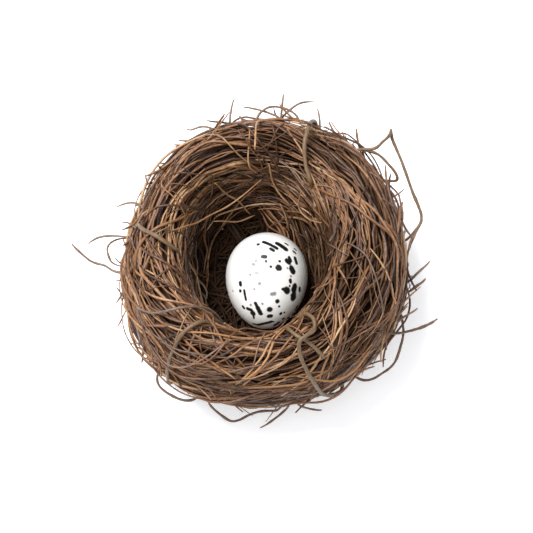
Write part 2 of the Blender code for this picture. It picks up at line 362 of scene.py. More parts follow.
def smoothed(line, reach):
    """A line of numbers smoothed over that many samples."""
    half = int(3 * reach)
    offsets = np.arange(-half, half + 1)
    weights = np.exp(-0.5 * (offsets / reach) ** 2)
    padded = np.pad(line, half, mode="edge")
    return np.convolve(padded, weights / weights.sum(), mode="valid")


def raise_top(bearing, turn, height, radius):
    """Raises the height reached so far to a strand's upper side, over its whole width."""
    row, column = cells(bearing, turn)
    reach = math.ceil(radius / CELL)
    for i in range(-reach, reach + 1):
        for j in range(-reach, reach + 1):
            aside = math.hypot(i, j) * CELL
            if aside > radius + CELL / 2:
                continue
            crown = height + math.sqrt(max(radius**2 - aside**2, 0.0))
            np.maximum.at(TOP, ((row + i) % BEARING_CELLS, np.clip(column + j, 0, TURN_CELLS - 1)), crown)


def lay(path, thickness, wave=0.0, arch=0.0, splay=(0.0, 0.0), press=True):
    """Rests a strand on what is there. Gives its points, and its height over the surface less the painted
    shade.

    It also stands off by its own slow wave, by an arch over its whole length, and by its splayed
    ends. A strand that doesn't press doesn't lift the ones laid after it.
    """
    length = path_length(path)
    count = max(int(length / SAMPLE), 8)
    at = np.linspace(0, STEPS - 1, count)
    bearing = np.interp(at, np.arange(STEPS), path[:, 0])
    turn = np.interp(at, np.arange(STEPS), path[:, 1])
    row, column = cells(bearing, turn)
    radius = thickness / 2
    support = TOP[row, column]
    for i, j in ((1, 0), (-1, 0), (0, 1), (0, -1)):
        edge = np.clip(column + j, 0, TURN_CELLS - 1)
        support = np.maximum(support, TOP[(row + i) % BEARING_CELLS, edge])
    height = np.maximum(smoothed(support, STIFF / SAMPLE), support - GIVE)
    height = smoothed(height, ROUNDING / SAMPLE) + radius

    share = np.linspace(0, 1, count)
    ripple = wander(np.array([length]), 1.0, waves=(34, 17, 9))[0]
    height = height + wave * np.clip(np.interp(at, np.arange(STEPS), ripple), 0, 1.6)
    crown = np.interp(turn, CROWN_TURNS, CROWNS) + look_up(ROOM, bearing, turn) * ROOM_TAKEN
    height = np.where(height > 0, crown * np.tanh(height / crown), height)
    if press:
        raise_top(bearing, turn, height, radius)
    height = height + arch * np.sin(math.pi * share) ** 2
    for from_end, rise in ((share * length, splay[0]), ((1 - share) * length, splay[1])):
        height = height + rise * np.clip(1 - from_end / SPLAY_LENGTH, 0, 1) ** 2
    points = look_up(PLACE, bearing, turn) + look_up(OUT, bearing, turn) * height[:, None]
    return clear_of_egg(points, radius), height - look_up(SHADE, bearing, turn)


def clear_of_egg(points, radius):
    """Points that would lie in the egg, moved out to its shell."""
    half = np.array([EGG_WIDTH, EGG_LENGTH, EGG_WIDTH]) / 2 + radius + EGG_ROOM
    offset = points - EGG_CENTRE
    inside = np.linalg.norm(offset / half, axis=-1, keepdims=True)
    return EGG_CENTRE + offset / np.minimum(np.maximum(inside, 1e-6), 1.0)


# ---------------------------------------------------------------- strands into meshes

# Painted shade: roots are darkened the deeper they lie under the surface.
DEPTH_STARTS = 0.4  # roots this far under the surface begin to darken
DEPTH_RANGE = 3.2  # and this much deeper they are darkest
# Tones of roots: up to which draw a tone is taken, its middle and its spread.
ROOT_TONES = [(0.24, 0.18, 0.08), (0.86, 0.45, 0.13), (1.0, 0.78, 0.1)]
GRAIN_GIRTH = 2.5  # how far round a root its grain runs
GRAIN_APART = (3.7, 5.1)  # how far each root's grain is from the last one's, along and round


class Strands:
    """Strands that become one joined mesh. Each keeps its own thickness, bark and depth."""

    def __init__(self, name, sides, spacing):
        self.name = name
        self.sides = sides
        self.spacing = spacing
        self.points = []
        self.thickness = []
        self.deep = []
        self.bark = []

    def add(self, points, height, thickness, dark=0.0):
        """Adds one strand. Its number of points is rounded up, so that many strands share one."""
        steps = np.linalg.norm(np.diff(points, axis=0), axis=1)
        way = np.concatenate([[0], np.cumsum(steps)])
        count = 6 * math.ceil(way[-1] / self.spacing / 6) + 1
        at = np.linspace(0, way[-1], count)
        self.points.append(np.stack([np.interp(at, way, points[:, k]) for k in range(3)], axis=1))
        # Painted shade: how dark this root is made at each point by its depth.
        depth = np.interp(at, way, -height)
        self.deep.append(np.clip((depth - DEPTH_STARTS) / DEPTH_RANGE, 0, 1))
        self.thickness.append(root_thickness(count, thickness))
        self.bark.append(root_bark(dark))


def root_thickness(count, thickness):
    """Thickness along a root: uneven, thinner at its ends and towards one of them."""
    share = np.linspace(0, 1, count)
    if rng.uniform() < 0.5:
        share = 1 - share
    ends = np.minimum(1, 0.5 + 3.5 * np.minimum(share, 1 - share))
    uneven = 1 + 0.07 * np.sin(TURN * (share * rng.uniform(2, 5) + rng.uniform()))
    uneven += 0.07 * rng.normal(0, 1, count)
    return thickness * ends * uneven * (1 - rng.uniform(0, 0.3) * share)


def root_bark(dark):
    """A root's own tone from dark to light, how grey it is, and how golden."""
    kind = rng.uniform()
    middle, spread_of_tone = next(row[1:] for row in ROOT_TONES if kind < row[0])
    tone = rng.normal(middle, spread_of_tone)
    grey = rng.uniform(0.4, 0.8) if rng.uniform() < 0.08 else rng.uniform(0, 0.1)
    golden = rng.uniform(0.3, 0.7) if rng.uniform() < 0.06 else 0.0
    lightest = 0.9 if grey < 0.3 else 0.5
    # The tone is lowered by dark: for the roots deep in the wall and in the hollow this is painted shade.
    return float(np.clip(tone - dark, 0, lightest)), grey, golden


def tube_rings(points, thickness, sides):
    """Rings of points round many routes at once, turned as little as they can be."""
    ahead = np.gradient(points, axis=1)
    ahead /= np.linalg.norm(ahead, axis=2, keepdims=True) + 1e-9
    side = np.cross(ahead[:, 0], np.array([0.31, 0.27, 0.91]))
    side /= np.linalg.norm(side, axis=1, keepdims=True) + 1e-9
    around = TURN * np.arange(sides)[None, :, None] / sides
    rings = []
    for k in range(points.shape[1]):
        side = side - ahead[:, k] * (side * ahead[:, k]).sum(axis=1, keepdims=True)
        side /= np.linalg.norm(side, axis=1, keepdims=True) + 1e-9
        up = np.cross(ahead[:, k], side)
        ring = side[:, None] * np.cos(around) + up[:, None] * np.sin(around)
        rings.append(points[:, k, None] + ring * thickness[:, k, None, None] / 2)
    return np.stack(rings, axis=1)


def tube_corners(count, sides):
    """One closed tube's faces: the corners' vertices, the faces' sizes, and each corner's UV."""
    k = np.arange(count - 1)[:, None]
    a = np.arange(sides)[None, :]
    b = (a + 1) % sides
    quads = np.stack([k * sides + a, k * sides + b, (k + 1) * sides + b, (k + 1) * sides + a], axis=-1)
    along = np.stack([k + 0 * a, k + 0 * a, k + 1 + 0 * a, k + 1 + 0 * a], axis=-1)
    around = np.stack([a + 0 * k, a + 1 + 0 * k, a + 1 + 0 * k, a + 0 * k], axis=-1)
    cap = np.arange(sides)
    corners = np.concatenate([quads.ravel(), cap[::-1], (count - 1) * sides + cap])
    sizes = np.concatenate([np.full(quads.size // 4, 4), [sides, sides]])
    along = np.concatenate([along.ravel(), np.zeros(sides), np.full(sides, count - 1)]) / (count - 1)
    around = np.concatenate([around.ravel(), cap[::-1], cap]) / sides
    return corners, sizes, along, around


def strip_uv(index, total, along, around):
    """Where each strand's own strip lies in a square of strips."""
    columns = max(1, round(math.sqrt(total / 6)))
    rows = math.ceil(total / columns)
    left = (index % columns + 0.04 + 0.92 * along) / columns
    low = (index // columns + 0.08 + 0.84 * around) / rows
    return np.stack([left, low], axis=1)


def strand_mesh(strands):
    """One joined mesh of closed tubes, with a strip of UV and a bark for each."""
    groups = {}
    for index, points in enumerate(strands.points):
        groups.setdefault(len(points), []).append(index)
    sides = strands.sides
    parts = {key: [] for key in ("place", "corner", "size", "strip", "grain", "bark", "deep")}
    first = 0
    for count, members in groups.items():
        points = np.array([strands.points[m] for m in members])
        thickness = np.array([strands.thickness[m] for m in members])
        rings = tube_rings(points, thickness, sides)
        rings[..., 2] = np.maximum(rings[..., 2], STANDING_GAP)
        corners, sizes, along, around = tube_corners(count, sides)
        starts = first + np.arange(len(members))[:, None] * count * sides
        index = np.repeat(members, len(corners))
        along = np.tile(along, len(members))
        around = np.tile(around, len(members))
        length = np.linalg.norm(np.diff(points, axis=1), axis=2).sum(axis=1)
        way = along * np.repeat(length, len(corners)) + index * GRAIN_APART[0]
        girth = around * GRAIN_GIRTH + index * GRAIN_APART[1]
        parts["place"].append(rings.reshape(-1, 3) * MM)
        parts["corner"].append((starts + corners).ravel())
        parts["size"].append(np.tile(sizes, len(members)))
        parts["strip"].append(strip_uv(index, len(strands.points), along, around))
        parts["grain"].append(np.stack([way, girth], axis=1))
        parts["bark"].append(np.repeat([strands.bark[m] for m in members], count * sides, axis=0))
        parts["deep"].append(np.repeat(np.array([strands.deep[m] for m in members]).ravel(), sides))
        first += len(members) * count * sides
    parts = {key: np.concatenate(value) for key, value in parts.items()}

    mesh = bpy.data.meshes.new(strands.name)
    mesh.vertices.add(len(parts["place"]))
    mesh.vertices.foreach_set("co", parts["place"].ravel())
    mesh.loops.add(len(parts["corner"]))
    mesh.loops.foreach_set("vertex_index", parts["corner"].astype(np.int32))
    mesh.polygons.add(len(parts["size"]))
    starts = np.concatenate([[0], np.cumsum(parts["size"])[:-1]])
    mesh.polygons.foreach_set("loop_start", starts.astype(np.int32))
    mesh.update(calc_edges=True)
    for name, key in (("OFBake", "strip"), ("grain", "grain")):
        mesh.uv_layers.new(name=name).data.foreach_set("uv", parts[key].astype(np.float32).ravel())
    bark = mesh.attributes.new("bark", "FLOAT_VECTOR", "POINT")
    bark.data.foreach_set("vector", parts["bark"].astype(np.float32).ravel())
    deep = mesh.attributes.new("deep", "FLOAT", "POINT")
    deep.data.foreach_set("value", parts["deep"].astype(np.float32))
    mesh.shade_smooth()
    return mesh


def show(piece, slot, *nodes):
    """Puts a finished piece in place of the plain solids it stands for."""
    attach(piece, "root")
    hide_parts(*nodes)


def show_strands(strands, finish):
    """Makes a family of strands one piece of the woven cup."""
    mesh = strand_mesh(strands)
    mesh.materials.append(finish)
    piece = bpy.data.objects.new(strands.name, mesh)
    bpy.context.scene.collection.objects.link(piece)
    show(piece, "bark", "woven_cup")


# ---------------------------------------------------------------- winding the wall

CORE_GAPS = 0.0006  # the share of the wall that the core may leave bare
# Painted shade: the lining and the mats are darkened as if they lay deeper than they do, the lining's bold
# roots less.
LINING_DEPTH = 1.6  # the lining is as dark as roots this far under the rim's surface
BOLD_RISE = 1.2  # and the few bold roots in it as light as roots this much higher
MAT_HEIGHT = -4.6  # a mat's strands are as dark as roots at this height over the surface
MAT_STEPS = 24  # places along a strand of a mat


def degrees_between(low, high, count):
    """Random angles between two angles in degrees, in radians."""
    return np.radians(rng.uniform(low, high, count))


def lowest(paths):
    """Which of these paths runs over the lowest ground."""
    places = [cells(path[::6, 0], path[::6, 1]) for path in paths]
    depths = [(TOP[place] + ROOM[place]).mean() for place in places]
    best = int(np.argmin(depths))
    return best, depths[best]


def bed_core():
    """Coarse roots bedded in the middle of the wall, through one another, until it is opaque, in a dark
    tone that is painted shade.
    """
    strands = Strands("core_roots", sides=4, spacing=6.0)
    choices = 12
    floor = TOP.copy()
    while (TOP < floor + 0.1).mean() > CORE_GAPS:
        length = rng.uniform(50, 110, choices)
        paths = grow(
            rng.uniform(0, TURN, choices),
            rng.uniform(TURN_FROM, TURN_TO, choices),
            rng.normal(0, math.radians(25), choices),
            length,
            math.radians(6),
        )
        places = [cells(path[:, 0], path[:, 1]) for path in paths]
        best = int(np.argmax([(TOP[place] < floor[place] + 0.1).mean() for place in places]))
        row, column = places[best]
        height = smoothed(floor[row, column], 8.0) + rng.uniform(0.3, 1.2)
        thickness = rng.uniform(1.2, 1.7)
        bearing, turn = paths[best][:, 0], paths[best][:, 1]
        raise_top(bearing, turn, height, thickness / 2)
        points = look_up(PLACE, bearing, turn) + look_up(OUT, bearing, turn) * height[:, None]
        strands.add(clear_of_egg(points, thickness / 2), height, thickness, dark=0.3)
    return [strands]


def fill_wall(until):
    """Coarse windings over the core, each over the lowest of a few places, in a dark tone that is painted
    shade.
    """
    strands = Strands("inner_roots", sides=3, spacing=6.0)
    choices = 5
    reached = [-LAID_FROM]
    while np.mean(reached[-60:]) < until:
        paths = grow(
            rng.uniform(0, TURN, choices),
            degrees_between(-110, 205, choices),
            rng.normal(0, math.radians(9), choices),
            rng.uniform(80, 150, choices),
            math.radians(4.5),
        )
        best, depth = lowest(paths)
        reached.append(depth)
        thickness = rng.uniform(0.75, 1.1)
        strands.add(*lay(paths[best], thickness), thickness, dark=0.3)
    return [strands]


def wind_bundles(until):
    """Windings in loose bundles: a leading root, and others that keep beside it for a while."""
    strands = [Strands(f"wound_roots_{i + 1}", sides=5, spacing=3.0) for i in range(2)]
    choices = 3
    reached = [-LAID_FROM]
    while np.mean(reached[-40:]) < until:
        length = rng.choice([50, 80, 110, 140], choices, p=[0.15, 0.3, 0.3, 0.25]) * rng.uniform(0.85, 1.2)
        paths = grow(
            rng.uniform(0, TURN, choices),
            degrees_between(-85, 190, choices),
            rng.normal(0, math.radians(10), choices),
            length,
            math.radians(rng.choice([6, 10])),
            kink=math.radians(7),
        )
        best, depth = lowest(paths)
        reached.append(depth)
        together = rng.integers(1, 6)
        for k in range(together):
            path = beside(paths[best], (k - together / 2) * rng.uniform(0.9, 1.5))
            start, end = rng.uniform(0, 0.2), rng.uniform(0.8, 1)
            path = shortened(path, start, end)
            thickness = rng.choice([0.52, 0.68, 0.84, 1.05], p=[0.25, 0.35, 0.28, 0.12])
            thickness *= rng.uniform(0.92, 1.1)
            laid = lay(path, thickness, wave=rng.uniform(0, 0.9), splay=splayed())
            strands[len(reached) % 2].add(*laid, thickness)
    return strands


def shortened(path, start, end):
    """The part of a path between two shares of its length."""
    at = np.linspace(start, end, STEPS) * (STEPS - 1)
    return np.stack([np.interp(at, np.arange(STEPS), path[:, k]) for k in range(2)], axis=1)


def splayed():
    """How far each end of a root stands off the wall. Few stand off far."""
    return tuple(rng.choice([0.2, 1.0, 3.0], 2, p=[0.62, 0.26, 0.12]) * rng.uniform(0.4, 1.3, 2))


def lay_fan():
    """Roots that leave the far rim together and spread out over the right wall towards the knot."""
    strands = Strands("fanned_roots", sides=5, spacing=3.0)
    count = 56
    start = np.stack([degrees_between(58, 80, count), rng.normal(math.radians(92), 0.12, count)], axis=1)
    end = np.stack([degrees_between(-66, -25, count), degrees_between(38, 150, count)], axis=1)
    start[:, 1] += (end[:, 1] - math.radians(92)) * 0.35
    for path in sweep(start, end, 0.8):
        thickness = rng.uniform(0.65, 1.05)
        path = shortened(path, rng.uniform(0, 0.25), rng.uniform(0.7, 1))
        strands.add(*lay(path, thickness, wave=rng.uniform(0, 0.6), splay=splayed()), thickness)
    return [strands]


def lay_crossings():
    """Single roots that run across the windings, more of them low on the right."""
    strands = Strands("crossing_roots", sides=5, spacing=2.6)
    count = 120
    bearing = degrees_between(70, 345, count)
    bearing[: count // 4] = degrees_between(275, 340, count // 4)
    steep = np.where(rng.uniform(size=count) < 0.5, 1, -1) * degrees_between(10, 45, count)
    length = rng.uniform(18, 60, count)
    turn = degrees_between(-40, 165, count)
    for path in grow(bearing, turn, steep, length, math.radians(9), kink=math.radians(8)):
        thickness = rng.uniform(0.5, 1.0)
        laid = lay(path, thickness, wave=rng.uniform(0, 0.6), arch=rng.uniform(0, 0.8), splay=splayed())
        strands.add(*laid, thickness)
    return [strands]


def line_hollow():
    """Finer roots that line the hollow, many of them on end, most of them darkened with painted shade."""
    strands = Strands("lining_roots", sides=4, spacing=2.2)
    count = 340
    bearing = rng.uniform(0, TURN, count)
    turn = degrees_between(122, 214, count)
    # They lie in all directions on the far and left sides, and along the wall on the right.
    on_end = rng.uniform(size=count) < np.where(np.cos(bearing) > 0.6, 0.15, 0.6)
    heading = np.where(on_end, rng.normal(0, math.radians(65), count), rng.normal(0, 0.3, count))
    length = rng.uniform(12, 42, count)
    bold = rng.uniform(size=count) < np.where(np.cos(bearing) > 0.6, 0.3, 0.12)
    paths = grow(bearing, turn, heading, length, math.radians(9), kink=math.radians(9))
    for path, stands_out in zip(paths, bold, strict=True):
        thickness = rng.uniform(0.6, 0.9) if stands_out else rng.uniform(0.4, 0.7)
        points, height = lay(path, thickness, wave=rng.uniform(0, 1.0), arch=rng.uniform(0, 1.3))
        # Painted shade: the bold roots get less of it, the others more and a darker tone.
        if stands_out:
            strands.add(points, height + BOLD_RISE, thickness)
        else:
            strands.add(points, height - LINING_DEPTH, thickness, dark=0.2)
    return [strands]


def lay_loops():
    """Thin loops and ends that stand off the outer wall, with air behind them."""
    strands = Strands("loose_roots", sides=5, spacing=1.8)
    count = 120
    bearing = rng.uniform(0, TURN, count)
    bearing[: count // 3] = degrees_between(95, 240, count // 3)
    turn = degrees_between(-35, 80, count)
    heading = rng.normal(0, math.radians(16), count)
    length = rng.uniform(16, 52, count)
    for path in grow(bearing, turn, heading, length, math.radians(11), kink=math.radians(9)):
        thickness = rng.uniform(0.4, 0.85)
        arch = rng.choice([0.4, 1.2, 3.0], p=[0.55, 0.33, 0.12]) * rng.uniform(0.7, 1.3)
        splay = rng.choice([0.0, 1.2, 4.0], 2, p=[0.6, 0.28, 0.12]) * rng.uniform(0.6, 1.3, 2)
        strands.add(*lay(path, thickness, arch=arch, splay=splay, press=False), thickness, dark=0.1)
    return [strands]


def lay_outriders():
    """Roots that run round the rim with air under them, and stubs. None are on the near side."""
    strands = Strands("outlying_roots", sides=5, spacing=1.8)
    count = 120
    bearing = degrees_between(62, 222, count)
    bearing[: count // 4] = degrees_between(-20, 62, count // 4)
    turn = degrees_between(-5, 70, count)
    stub = rng.uniform(size=count) < np.where(np.cos(bearing) > 0.4, 0.8, 0.45)
    heading = np.where(stub, rng.normal(0, 0.9, count), rng.normal(0, math.radians(7), count))
    length = np.where(stub, rng.uniform(7, 16, count), rng.uniform(25, 60, count))
    paths = grow(bearing, turn, heading, length, math.radians(8), kink=math.radians(8))
    for path, short in zip(paths, stub, strict=True):
        thickness = rng.uniform(0.5, 0.95)
        arch = 0.4 if short else rng.uniform(1.0, 3.4)
        splay = (0.0, rng.uniform(2.0, 5.5)) if short else (0.0, 0.0)
        strands.add(*lay(path, thickness, arch=arch, splay=splay, press=False), thickness, dark=0.06)
    return [strands]


def scatter_wisps():
    """Hair-thin rootlets over everything, some curling off the wall."""
    strands = Strands("root_hairs", sides=3, spacing=1.6)
    count = 220
    bearing = rng.uniform(0, TURN, count)
    turn = degrees_between(-60, 190, count)
    heading = rng.uniform(-1.2, 1.2, count)
    length = rng.uniform(7, 26, count)
    for path in grow(bearing, turn, heading, length, math.radians(16), kink=math.radians(12)):
        thickness = rng.uniform(0.24, 0.4)
        splay = rng.choice([0.3, 2.2], 2, p=[0.7, 0.3]) * rng.uniform(0.5, 1.4, 2)
        laid = lay(path, thickness, arch=rng.uniform(0, 1.0), splay=splay, press=False)
        strands.add(*laid, thickness)
    return [strands]


def mat(name, centre, low, high, reach, count):
    """Roots lying across one another in a disc, each a bowed chord of it."""
    strands = Strands(name, sides=4, spacing=2.6)
    for k in range(count):
        across = rng.uniform(0, TURN)
        middle = rng.uniform(-0.95, 0.95) * reach
        half = math.sqrt(reach**2 - middle**2) * rng.uniform(0.7, 1.0)
        share = np.linspace(-1, 1, MAT_STEPS)
        bow = rng.normal(0, 0.12) * half * (1 - share**2)
        ripple = 0.35 * np.sin(share * rng.uniform(3, 8) + rng.uniform(0, TURN))
        x = share * half
        y = middle + bow + ripple
        thickness = rng.uniform(0.6, 1.0)
        level = low + thickness / 2 + (high - low - thickness) * (k + rng.uniform()) / (count + 1)
        z = level + 0.25 * np.sin(share * rng.uniform(2, 7) + rng.uniform(0, TURN))
        z = np.maximum(z, thickness / 2 + STANDING_GAP)
        east = centre[0] + x * math.cos(across) - y * math.sin(across)
        north = centre[1] + x * math.sin(across) + y * math.cos(across)
        points = clear_of_egg(np.stack([east, north, z], axis=1), thickness / 2)
        # Painted shade: a mat's roots get a darker tone and the shade of roots deep under the surface.
        strands.add(points, np.full(MAT_STEPS, MAT_HEIGHT), thickness, dark=0.25)
    return [strands]


# ---------------------------------------------------------------- vines and twigs

STEM_STEP = 0.8  # between the points of a vine or twig
STEM_LIFT = 1.25  # how far its middle is above the roots it rests on, in thicknesses
STEM_FULLNESS = 0.86  # its thickness between the knots, as a share of the solid's
STEM_TIP = 0.55  # the same at its ends
TIP_LENGTH = 8.0  # how much of it would taper from nothing to its full thickness
KNOT_BEND = 3.0  # how much of it each knot bends
CREST_REACH = 1.6  # it rests on the highest roots this near to it
SUNK_LENGTH = 3.5  # how much of a held end goes in among the roots
SUNK_DEPTH = 2.2
HELD_WITHIN = 4.5  # an end nearer to the wall than this is held by it


def cup_point(bearing, radius, height):
    """A place given by its bearing in degrees, radius and height, as x, y and z."""
    bearing = math.radians(bearing)
    return radius * math.cos(bearing), radius * math.sin(bearing), height


def curve_through(corners):
    """A smooth curve through the corners, with evenly spaced points."""
    corners = np.array(corners)
    padded = np.concatenate([[2 * corners[0] - corners[1]], corners, [2 * corners[-1] - corners[-2]]])
    line = []
    for p0, p1, p2, p3 in zip(padded, padded[1:], padded[2:], padded[3:], strict=False):
        for t in np.linspace(0, 1, 12, endpoint=False):
            line.append(0.5 * (2 * p1 + (p2 - p0) * t + (2 * p0 - 5 * p1 + 4 * p2 - p3) * t**2
                               + (3 * p1 - p0 - 3 * p2 + p3) * t**3))
    line.append(corners[-1])
    line = np.array(line)
    way = np.concatenate([[0], np.cumsum(np.linalg.norm(np.diff(line, axis=0), axis=1))])
    at = np.linspace(0, way[-1], max(math.ceil(way[-1] / STEM_STEP), 6))
    return np.stack([np.interp(at, way, line[:, k]) for k in range(3)], axis=1)


def over_wall(points):
    """Each point's bearing, turn and distance from the ring's core, and its height over the wall."""
    bearing = np.arctan2(points[:, 1], points[:, 0]) % TURN
    outward = np.hypot(points[:, 0], points[:, 1]) - CORE_RADIUS
    upward = points[:, 2] - CORE_HEIGHT
    turn = np.arctan2(upward, outward)
    turn = np.where(turn < TURN_FROM, turn + TURN, turn)
    wall = look_up(PLACE, bearing, turn)
    wall_reach = np.hypot(np.hypot(wall[:, 0], wall[:, 1]) - CORE_RADIUS, wall[:, 2] - CORE_HEIGHT)
    reach = np.hypot(outward, upward)
    return bearing, turn, reach, reach - wall_reach


def crest_near(bearing, turn, reach):
    """The highest that the strands come within that many millimetres of each place."""
    row, column = cells(bearing, turn)
    reach = round(reach / CELL)
    crest = TOP[row, column]
    for i in range(-reach, reach + 1):
        for j in range(-reach, reach + 1):
            edge = np.clip(column + j, 0, TURN_CELLS - 1)
            crest = np.maximum(crest, TOP[(row + i) % BEARING_CELLS, edge])
    return crest


def held_route(route, thickness):
    """A vine's or twig's points, rested on the roots, with the ends that they hold sunk in them."""
    points = curve_through([cup_point(*place) for place in route])
    bearing, turn, reach, height = over_wall(points)
    wall_reach = reach - height
    way = np.arange(len(points)) * STEM_STEP
    for side in (way, way[::-1]):
        end = 0 if side[0] == 0 else -1
        if height[end] < HELD_WITHIN:
            near = np.clip(1 - side / (2 * SUNK_LENGTH), 0, 1)
            height = height - near * height[end]
    rested = crest_near(bearing, turn, CREST_REACH) + thickness * STEM_LIFT
    lifted = smoothed(np.maximum(height, rested), 1.6)
    sunk = np.zeros(len(points))
    for side in (way, way[::-1]):
        end = 0 if side[0] == 0 else -1
        if height[end] < HELD_WITHIN / 2:
            sunk = sunk + (SUNK_DEPTH + thickness) * np.clip(1 - side / SUNK_LENGTH, 0, 1)
    final = lifted - sunk
    near_wall = height < 2.5
    raise_top(bearing[near_wall], turn[near_wall], final[near_wall], thickness / 2)
    out = wall_reach + final
    radius = CORE_RADIUS + np.cos(turn) * out
    up = CORE_HEIGHT + np.sin(turn) * out
    return np.stack([radius * np.cos(bearing), radius * np.sin(bearing), up], axis=1)


# Light roots that span the hollow's wall, clear of it: thickness, and places as (bearing, radius,
# height). A helper program worked out the first five, and they were rounded and adjusted.
SPAN_BARK = (0.62, 0.1, 0.25)  # their tone, how grey they are, and how golden
SPANS = [
    (0.62, [(93, 23, 38), (110, 21, 32), (141, 21, 33), (168, 25, 43), (174, 29, 46)]),
    (0.55, [(101, 18, 21), (120, 17.5, 23), (141, 20.5, 28)]),
    (0.6, [(98, 35, 48), (101, 26, 44), (96, 24, 39)]),
    (0.6, [(77, 20, 27), (69, 17.5, 22), (62, 16, 17)]),
    (0.6, [(60, 21, 39), (57, 19, 32), (41, 17.5, 33), (27, 19, 39)]),
    (0.6, [(128, 25, 42), (115, 21, 30), (104, 18.5, 22)]),
    (0.6, [(88, 26, 42), (80, 21, 33), (66, 19, 30)]),
]


def lay_spans():
    """The light roots across the hollow, each rippling a little."""
    strands = Strands("spanning_roots", sides=6, spacing=1.5)
    for thickness, route in SPANS:
        points = curve_through([cup_point(*place) for place in route])
        ripple = np.sin(np.arange(len(points)) * 0.35 + rng.uniform(0, TURN))
        strands.add(points + ripple[:, None] * (0.15, 0.15, 0.3), np.zeros(len(points)), thickness)
        strands.bark[-1] = SPAN_BARK
    return [strands]


def stem(name, route, thickness, finish, slot, knots_apart):
    """A vine or twig: a round stem with knots, tapering to its loose ends."""
    points = held_route(route, thickness)
    way = np.arange(len(points)) * STEM_STEP
    radius = STEM_FULLNESS + 0.05 * np.sin(way * rng.uniform(0.4, 0.9) + rng.uniform(0, TURN))
    knot = rng.uniform(2, knots_apart)
    bend = np.zeros_like(points)
    while knot < way[-1]:
        radius = radius + rng.uniform(0.12, 0.3) * np.exp(-(((way - knot) / rng.uniform(0.5, 0.9)) ** 2))
        bend += rng.normal(0, 0.12, 3) * np.exp(-(((way - knot) / KNOT_BEND) ** 2))[:, None]
        knot += rng.uniform(0.6, 1.5) * knots_apart
    for side in (way, way[::-1]):
        radius = radius * np.clip(STEM_TIP + side / TIP_LENGTH, 0, 1)
    points = points + bend

    bpy.ops.object.select_all(action="DESELECT")
    bpy.ops.curve.primitive_nurbs_path_add()
    piece = bpy.context.object
    piece.name = name
    spline = piece.data.splines[0]
    spline.points.add(len(points) - len(spline.points))
    for point, place, size in zip(spline.points, points, radius, strict=True):
        point.co = (*(place * MM), 1)
        point.radius = size
    spline.order_u = 3
    piece.data.resolution_u = 1
    piece.data.bevel_depth = thickness / 2 * MM
    piece.data.bevel_resolution = 3
    piece.data.use_fill_caps = True
    bpy.ops.object.convert(target="MESH")
    piece = bpy.context.object
    bpy.ops.object.transform_apply()
    piece.data.materials.clear()
    piece.data.materials.append(finish)
    lump_bark(piece, thickness)
    measure_grain(piece, way[-1], thickness)
    piece.data.shade_smooth()
    show(piece, slot, name)


def lump_bark(piece, thickness):
    """Uneven bark, as a shape and not only as a finish."""
    texture = bpy.data.textures.new("bark_lumps", "CLOUDS")
    texture.noise_scale = 1.3 * MM
    bpy.ops.object.modifier_add(type="DISPLACE")
    lumps = piece.modifiers[-1]
    lumps.texture = texture
    lumps.texture_coords = "LOCAL"
    lumps.strength = 0.22 * thickness * MM
    bpy.ops.object.modifier_apply(modifier=lumps.name)


def measure_grain(piece, length, thickness):
    """Gives the bark its UV in millimetres along and round the stem."""
    laid_out = piece.data.uv_layers[0]
    laid_out.name = "OFBake"
    uv = np.empty(len(laid_out.data) * 2, dtype=np.float32)
    laid_out.data.foreach_get("uv", uv)
    uv = uv.reshape(-1, 2) * (length, math.pi * thickness) + (rng.uniform(0, 90), rng.uniform(0, 90))
    piece.data.uv_layers.new(name="grain").data.foreach_set("uv", uv.astype(np.float32).ravel())


def place_stems(stems, finish, slot, knots_apart):
    """Makes each of these vines or twigs."""
    for name, (thickness, route) in stems.items():
        stem(name, route, thickness, finish, slot, knots_apart)


# ---------------------------------------------------------------- the egg

# Marks on the upper side. A place on the shell is millimetres towards the blunt end from the middle,
# and degrees from the top towards +X. Widths are in millimetres. A helper program worked out the
# places in all three lists, and they were rounded.
# Streaks and long blots, from one place to another.
STREAKS = [
    ((9.0, -7), (6.9, 14), 0.9), ((8.7, 16), (7.1, 29), 1.4), ((6.5, 5), (6.0, 9), 0.8),
    ((9.4, 31), (9.0, 35), 0.4), ((7.1, 43), (6.7, 47), 0.5), ((8.3, 48), (8.0, 51), 0.4),
    ((3.7, -6), (3.7, -2), 1.0), ((4.4, 33), (3.5, 35), 0.9), ((3.2, 29), (2.8, 32), 1.4),
    ((4.8, 44), (3.4, 46), 1.0), ((1.1, 37), (0.3, 40), 1.7), ((-2.5, 37), (-3.0, 38), 0.8),
    ((-5.5, 27), (-5.5, 33), 0.5), ((-5.5, 34), (-5.7, 36), 1.9), ((-4.0, 48), (-4.7, 48), 2.1),
    ((-6.3, 51), (-6.9, 53), 2.2), ((-3.8, 60), (-4.3, 62), 0.9), ((-3.8, -41), (-4.3, -41), 1.0),
    ((-6.1, -36), (-8.6, -37), 0.5), ((-10.1, -51), (-10.5, -50), 0.6), ((-10.9, -41), (-11.4, -33), 0.8),
    ((-12.8, -34), (-13.3, -38), 0.3), ((-9.8, -19), (-10.9, -16), 0.7), ((-10.9, -16), (-12.4, -11), 1.1),
    ((-12.9, 13), (-12.8, 18), 1.1), ((-12.1, 80), (-11.7, 86), 0.9), ((-9.1, 84), (-8.3, 80), 0.9),
    ((-14.3, 69), (-13.7, 66), 0.9), ((-13.5, 93), (-12.9, 91), 1.2), ((-14.2, -67), (-14.6, -49), 0.5),
    ((-14.6, -49), (-14.5, -8), 0.9), ((-14.5, -8), (-14.0, 29), 0.9),
]
